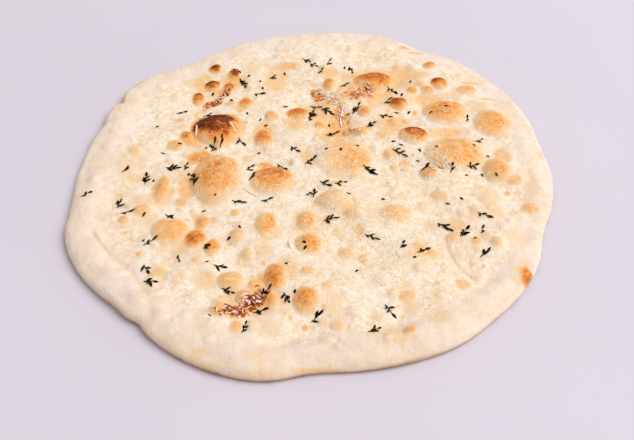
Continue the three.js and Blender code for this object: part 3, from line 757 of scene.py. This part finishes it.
def thyme_material(toppings):
    """Dried thyme: leathery leaves rolled under at the margin, dark olive green and dull."""
    nodes = Nodes("dried_thyme")
    tint = nodes.add("Attribute", {}, output="Fac", attribute_name="tint")
    vein = nodes.add("TexNoise", {"Vector": nodes.where, "Scale": pattern_scale(0.6), "Detail": 2})
    shade = nodes.add("Math", {0: vein, 1: 0.5, 2: tint}, operation="MULTIPLY_ADD")
    shade = nodes.add("MapRange", {"Value": shade, "From Min": 0.35, "From Max": 1.35})
    colour = nodes.add(
        "Mix", {FACTOR: shade, FIRST: toppings.thyme_dark, SECOND: toppings.thyme_green}, **COLOURS
    )
    normal = nodes.add("Bump", {"Height": vein, "Strength": 0.4, "Distance": 0.15 * MM})
    nodes.give(
        nodes.shader.inputs,
        {"Base Color": colour, "Roughness": 0.85, "Normal": normal, "IOR": 1.4, "Specular IOR Level": 0.0},
    )
    return nodes.material


def cheese_material(name, stops):
    """Aged hard cheese, finely grated and half melted: cream-white and waxy. Where it crisped
    it runs from pinkish white through brown to nearly black."""
    nodes = Nodes(name)
    tint = nodes.add("Attribute", {}, output="Fac", attribute_name="tint")
    mottle = nodes.add("TexNoise", {"Vector": nodes.where, "Scale": pattern_scale(1.3), "Detail": 2})
    shade = nodes.add(
        "MapRange", {"Value": mottle, "From Min": 0.3, "From Max": 0.7, "To Min": -0.1, "To Max": 0.1}
    )
    shade = nodes.add("Math", {0: shade, 1: tint}, operation="ADD")
    nodes.give(
        nodes.shader.inputs,
        {
            "Base Color": nodes.add("ValToRGB", {"Fac": shade}, output="Color", stops=stops),
            "Roughness": 0.5,
        },
    )
    return nodes.material


def floor_material(stage):
    """A smooth painted tabletop, pale and cool, with the faintest unevenness of colour."""
    nodes = Nodes("painted_tabletop")
    cloud = nodes.add("TexNoise", {"Vector": nodes.where, "Scale": pattern_scale(160), "Detail": 2})
    colour = nodes.add(
        "Mix", {FACTOR: cloud, FIRST: stage.floor_colour, SECOND: stage.floor_shade_colour}, **COLOURS
    )
    nodes.give(nodes.shader.inputs, {"Base Color": colour, "Roughness": 0.7})
    return nodes.material


# ---- Settings ----


def length(name, description, default_mm):
    return bpy.props.FloatProperty(
        name=name, description=description, default=default_mm * MM, unit="LENGTH"
    )


def number(name, description, default, least=0, most=10000):
    return bpy.props.IntProperty(name=name, description=description, default=default, min=least, max=most)


def colour(name, description, hex_colour):
    return bpy.props.FloatVectorProperty(
        name=name, description=description, default=linear(hex_colour), size=3, min=0, max=1, subtype="COLOR"
    )


class FocacciaBread(bpy.types.PropertyGroup):
    crumb_thickness: length("Middle", "Thickness of the flat middle", 6)
    rim_height: length("Rim height", "Height of the rim on average", 7.6)
    rim_swing: length("Rim swing", "How much higher the rim is on its thick side", 2.2)
    rim_width: length("Rim width", "From the edge in to the foot of the rim, on average", 22)
    rim_width_swing: length("Rim width swing", "How much wider the rim is on its thick side", 5)
    swell: length("Swell", "Depth of the slow waves in the dough", 0.7)
    bubbles: number("Bubbles", "Small bubbles in the skin", 520)
    rings: number("Rings", "Rings of triangles from the middle to the edge", 160, 20, 170)
    pale_colour: colour("Pale dough", "Low places that stayed pale", "#eddac8")
    warm_colour: colour("Warm dough", "Low places that coloured a little", "#ebceb1")
    golden_colour: colour("Golden patches", "Faint patches where browning starts", "#e7be90")
    film_colour: colour("Cheese film", "Flecks of melted cheese over the middle", "#fcf2e3")
    rim_colour: colour("Rim", "The rim's cooler skin", "#e7d1c3")
    rim_warm_colour: colour("Warm rim", "Places on the rim that coloured a little", "#e9d1ba")


class FocacciaToppings(bpy.types.PropertyGroup):
    leaf_length: length("Leaf length", "Length of a thyme leaf", 4.3)
    leaf_width: length("Leaf width", "Width of a thyme leaf", 1.6)
    loose_leaves: number("Loose leaves", "Single thyme leaves between the sprigs", 60)
    shreds: number("Shreds", "Shreds of grated cheese", 3900)
    shred_length: length("Shred length", "Length of a shred of cheese", 4.6)
    shred_width: length("Shred width", "Width of a shred of cheese", 0.66)
    thyme_dark: colour("Dark thyme", "The darkest leaves", "#0d0702")
    thyme_green: colour("Green thyme", "The greenest leaves", "#3f3810")


class FocacciaStage(bpy.types.PropertyGroup):
    floor_size: length("Floor", "Length of the floor's sides", 6000)
    floor_colour: colour("Floor", "Colour of the tabletop", "#d8d1dd")
    floor_shade_colour: colour("Floor shade", "Colour of its faint clouds", "#d1cad6")
    key_power: bpy.props.FloatProperty(
        name="Key light", description="Power of the large soft light", default=160, min=0, unit="POWER"
    )
    surround: bpy.props.FloatProperty(
        name="Surround", description="Strength of the even light from all round", default=0.55, min=0
    )


# ---- Operators ----


class FOCACCIA_OT_bread(bpy.types.Operator):
    """Build the bread with its rim, blisters and toasted skin"""

    bl_idname = "focaccia.bread"
    bl_label = "Bread"

    def execute(self, context):
        settings = context.scene.focaccia_bread
        form = Form(settings)
        points, faces, underneath = bread_skin(form, settings.rings)
        x, y = points[:, 0], points[:, 1]
        angle = np.arctan2(y, x)
        inset = form.edge(angle) - np.hypot(x, y)
        on_top = 1 - underneath
        share_of_rim = points[:, 2] / form.rim(angle) + unevenness(x, y, UNEVEN_FLANK)
        # The flank's colour is partly real browning of the foot and partly painted shade on the low side of
        # the edge, strongest at the front.
        flank = smoothstep(*FLANK_SHARE, share_of_rim + smoothstep(*FLANK_INSET, inset))
        brown_and_shade_side = smoothstep(*HOT_REACH, np.cos(angle - math.radians(BROWN_AND_SHADE_SIDE)))
        band = smoothstep(EDGE_BAND, 1, inset + unevenness(x, y, UNEVEN_BAND))
        share_of_width = inset / form.rim_foot(angle) + unevenness(x, y, UNEVEN_RIM_FOOT)
        own = smoothstep(*RIM_SKIN_SHARE, share_of_width)
        attributes = {
            # Toast, with the painted shade of the creases in it.
            "toast_and_crease_shade": np.maximum(form.browning(x, y), EDGE_BAND_BROWN * brown_and_shade_side * band) * on_top,
            "crisp": form.crisping(x, y) * on_top,
            # The rim's darker skin, laid on more strongly on the thick side away from the light: partly its
            # own colour, partly painted shade.
            "rim": own * (RIM_SKIN_AND_SHADE[0] + RIM_SKIN_AND_SHADE[1] * np.cos(angle - math.radians(RIM_THICK_SIDE))),
            # Underside browning, and on the flank browning with painted shade.
            "under": np.maximum(underneath, flank * (FLANK_BROWN_AND_SHADE[0] + FLANK_BROWN_AND_SHADE[1] * brown_and_shade_side)),
        }
        piece = new_piece("bread", points, faces, form, attributes)
        piece.data.materials.append(crust_material(settings))
        return {"FINISHED"}


class FOCACCIA_OT_thyme(bpy.types.Operator):
    """Strew sprigs and single leaves of thyme over the top"""

    bl_idname = "focaccia.thyme"
    bl_label = "Thyme"

    def execute(self, context):
        self.form = Form(context.scene.focaccia_bread)
        self.settings = context.scene.focaccia_toppings
        self.rng = np.random.default_rng(THYME_SEED)
        self.strands = Strands(sides=6)
        for sprig in THYME_SPRIGS:
            self.sprig(*sprig)
        for _ in range(self.settings.loose_leaves):
            r = LOOSE_LEAVES_REACH * math.sqrt(self.rng.random())
            place = r * heading(360 * self.rng.random())
            direction = 360 * self.rng.random()
            self.leaf(place, direction, scattered(self.rng, *LOOSE_LEAF_SIZE), LOOSE_LEAF_LIFT)
        piece = self.strands.piece("thyme", self.form, "thyme")
        piece.data.materials.append(thyme_material(self.settings))
        return {"FINISHED"}

    def leaf(self, start, direction, size, lift):
        """A blunt leaf that rises a little from its base and dips again at the tip."""
        length = self.settings.leaf_length / MM * size
        half_width = self.settings.leaf_width / MM / 2 * (0.55 + 0.45 * size)
        half_width *= scattered(self.rng, *LEAF_STRETCH)
        bend = LEAF_BEND * (self.rng.random() - 0.5)
        path = laid_path(self.form, start, direction, length, 7, bend, lift)
        share = np.linspace(0.04, 0.97, len(path))
        path[:, 2] += length * scattered(self.rng, *LEAF_ARCH) * np.sin(np.pi * 0.8 * share)
        widths = half_width * np.sin(np.pi * share) ** 0.85
        heights = np.full(len(path), LEAF_HALF_THICKNESS)
        across = np.append(heading(direction + 90), 0.7 * (self.rng.random() - 0.5))
        self.strands.add(path, across, widths, heights, self.rng.random())

    def sprig(self, x, y, direction, leaves):
        """A thin stem with leaves on either side of it, set close but unevenly, and one at the tip."""
        length = STEM_FOR_LEAF * leaves + scattered(self.rng, *STEM_LENGTH)
        stem = strewn_path(self, (x, y), direction, length, 6, STEM_BEND, STEM_LIFT)
        across = np.append(heading(direction + 90), 0)
        thin = np.linspace(*STEM_HALF_THICKNESS, len(stem))
        self.strands.add(stem, across, thin, thin, 0.5 * self.rng.random())
        for i in range(leaves):
            if i == leaves - 1:
                share = 0.9
                turn = TIP_LEAF_TURN * (self.rng.random() - 0.5)
            else:
                share = 0.1 + 0.7 * (i + self.rng.random()) / leaves
                turn = (1 if i % 2 else -1) * scattered(self.rng, *SIDE_LEAF_TURN)
            place = stem[0, :2] + heading(direction) * length * share
            size = scattered(self.rng, *SPRIG_LEAF_SIZE)
            self.leaf(place, direction + turn, size, SPRIG_LEAF_LIFT)


class FOCACCIA_OT_cheese(bpy.types.Operator):
    """Scatter grated cheese over the top, with clumps that crisped"""

    bl_idname = "focaccia.cheese"
    bl_label = "Cheese"

    def execute(self, context):
        self.form = Form(context.scene.focaccia_bread)
        self.settings = context.scene.focaccia_toppings
        self.rng = np.random.default_rng(CHEESE_SEED)
        self.length = self.settings.shred_length / MM
        self.half_width = self.settings.shred_width / MM / 2

        grated = Strands(sides=4)
        drifts = np.array(CHEESE_DRIFTS, float)
        chosen = self.rng.choice(len(drifts), self.settings.shreds, p=drifts[:, 3] / drifts[:, 3].sum())
        places = self.rng.normal(drifts[chosen, :2], 0.7 * drifts[chosen, 2:3])
        browned = self.form.browning(*places.T)
        near = np.hypot(*places.T) < CHEESE_REACH
        kept = near & (self.rng.random(len(places)) > MELTED_ON_BROWN * browned)
        for place, brown in zip(places[kept], browned[kept]):
            size = scattered(self.rng, *SHRED_SIZE)
            tint = SHRED_TINT * self.rng.random() + MELTED_ON_BROWN * brown
            self.shred(grated, place, SHRED_SUNK, size, tint)
        piece = grated.piece("grated_cheese", self.form, "cheese")
        piece.data.materials.append(cheese_material("grated_hard_cheese", GRATED_COLOURS))

        crisped = Strands(sides=5)
        for x, y, half_length, half_width, direction, darkness, shreds in CRISP_CLUMPS:
            along, across = heading(direction), heading(direction + 90)
            for _ in range(shreds):
                u, v = self.rng.normal(0, 0.5, 2)
                place = np.array([x, y]) + along * half_length * u + across * half_width * v
                charred = self.rng.random() < CHARRED_SHARE * darkness
                if charred:
                    tint = CHARRED_TINT + 0.5 * darkness * self.rng.random()
                else:
                    tint = CRISP_TINT * self.rng.random()
                lift = 0.3 * self.rng.random() + (0 if charred else CRISP_LIFT)
                size = scattered(self.rng, *CRISP_SHRED_SIZE)
                self.shred(crisped, place, lift, size, tint, CRISP_WIDTH)
        for ribbon in CHEESE_RIBBONS:
            self.ribbon(crisped, *ribbon)
        piece = crisped.piece("crisped_cheese", self.form, "cheese")
        piece.data.materials.append(cheese_material("crisped_hard_cheese", CRISPED_CHEESE_COLOURS))
        return {"FINISHED"}

    def shred(self, strands, place, lift, size, tint, wide=1.0):
        """A thin curl of cheese with tapered ends, half sunk in the top where it isn't lifted."""
        direction = 360 * self.rng.random()
        length = self.length * size
        path = strewn_path(self, place, direction, length, len(SHRED_TAPER), SHRED_BEND, lift)
        half_width = self.half_width * wide * scattered(self.rng, *SHRED_STRETCH) * np.array(SHRED_TAPER)
        across = np.append(heading(direction + 90), 0.6 * (self.rng.random() - 0.5))
        strands.add(path, across, half_width, SHRED_FLATNESS * half_width, tint)

    def ribbon(self, strands, x, y, direction, length):
        """A broad flat shaving of cheese that lies over the blisters."""
        path = strewn_path(self, (x, y), direction, length, 9, RIBBON_BEND, RIBBON_LIFT)
        taper = np.sin(np.linspace(0.35, np.pi - 0.35, len(path))) ** 0.5
        half_width = self.half_width * RIBBON_WIDTH * taper
        across = np.append(heading(direction + 90), 0.3 * (self.rng.random() - 0.5))
        strands.add(path, across, half_width, SHRED_FLATNESS * half_width, RIBBON_TINT)


class FOCACCIA_OT_stage(bpy.types.Operator):
    """Set the floor, the soft light and the camera"""

    bl_idname = "focaccia.stage"
    bl_label = "Stage"

    def execute(self, context):
        settings = context.scene.focaccia_stage
        self.floor(settings)
        self.light(context.scene, settings)
        self.camera(context.scene)
        context.scene.view_settings.view_transform = "Standard"
        return {"FINISHED"}

    def floor(self, settings):
        half = settings.floor_size / 2
        mesh = bpy.data.meshes.new("floor")
        corners = [(-half, -half, 0), (half, -half, 0), (half, half, 0), (-half, half, 0)]
        mesh.from_pydata(corners, [], [(0, 1, 2, 3)])
        mesh.materials.append(floor_material(settings))
        floor = bpy.data.objects.new("floor", mesh)
        bpy.context.scene.collection.objects.link(floor)

    def light(self, scene, settings):
        world = bpy.data.worlds.new("surround")
        world.use_nodes = True
        background = world.node_tree.nodes["Background"]
        background.inputs["Color"].default_value = (*SURROUND_COLOUR, 1.0)
        background.inputs["Strength"].default_value = settings.surround
        scene.world = world
        key = bpy.data.lights.new("key", "AREA")
        key.shape = "DISK"
        key.size = KEY_SIZE
        key.energy = settings.key_power
        key.color = KEY_COLOUR
        lamp = bpy.data.objects.new("key", key)
        lamp.location = KEY_PLACE
        lamp.rotation_euler = (-lamp.location).to_track_quat("-Z", "Y").to_euler()
        scene.collection.objects.link(lamp)

    def camera(self, scene):
        height = math.radians(CAMERA_HEIGHT)
        away = Vector((0, -math.cos(height), math.sin(height)))
        view = bpy.data.cameras.new("camera")
        view.sensor_width = SENSOR_WIDTH
        view.lens = FOCAL_LENGTH
        camera = bpy.data.objects.new("camera", view)
        camera.location = Vector(CAMERA_LOOK_AT) * MM + CAMERA_DISTANCE * away
        camera.rotation_euler = (math.pi / 2 - height, 0, 0)
        scene.collection.objects.link(camera)
        scene.camera = camera


class FOCACCIA_PT_panel(bpy.types.Panel):
    """The focaccia's pieces and settings"""

    bl_idname = "FOCACCIA_PT_panel"
    bl_label = "Focaccia"
    bl_space_type = "VIEW_3D"
    bl_region_type = "UI"
    bl_category = "Focaccia"

    def draw(self, context):
        for operator, settings in PIECES:
            box = self.layout.box()
            box.operator(operator.bl_idname)
            group = getattr(context.scene, settings)
            for name in group.__annotations__:
                box.prop(group, name)


PIECES = [
    (FOCACCIA_OT_bread, "focaccia_bread"),
    (FOCACCIA_OT_thyme, "focaccia_toppings"),
    (FOCACCIA_OT_cheese, "focaccia_toppings"),
    (FOCACCIA_OT_stage, "focaccia_stage"),
]
SETTINGS = {
    "focaccia_bread": FocacciaBread,
    "focaccia_toppings": FocacciaToppings,
    "focaccia_stage": FocacciaStage,
}
CLASSES = [*SETTINGS.values(), *(operator for operator, _ in PIECES), FOCACCIA_PT_panel]


def register():
    for cls in CLASSES:
        bpy.utils.register_class(cls)
    for name, group in SETTINGS.items():
        setattr(bpy.types.Scene, name, bpy.props.PointerProperty(type=group))


def unregister():
    for name in SETTINGS:
        delattr(bpy.types.Scene, name)
    for cls in reversed(CLASSES):
        bpy.utils.unregister_class(cls)


def main():
    register()
    bpy.ops.focaccia.bread()
    bpy.ops.focaccia.thyme()
    bpy.ops.focaccia.cheese()
    bpy.ops.focaccia.stage()


if __name__ == "__main__":
    main()
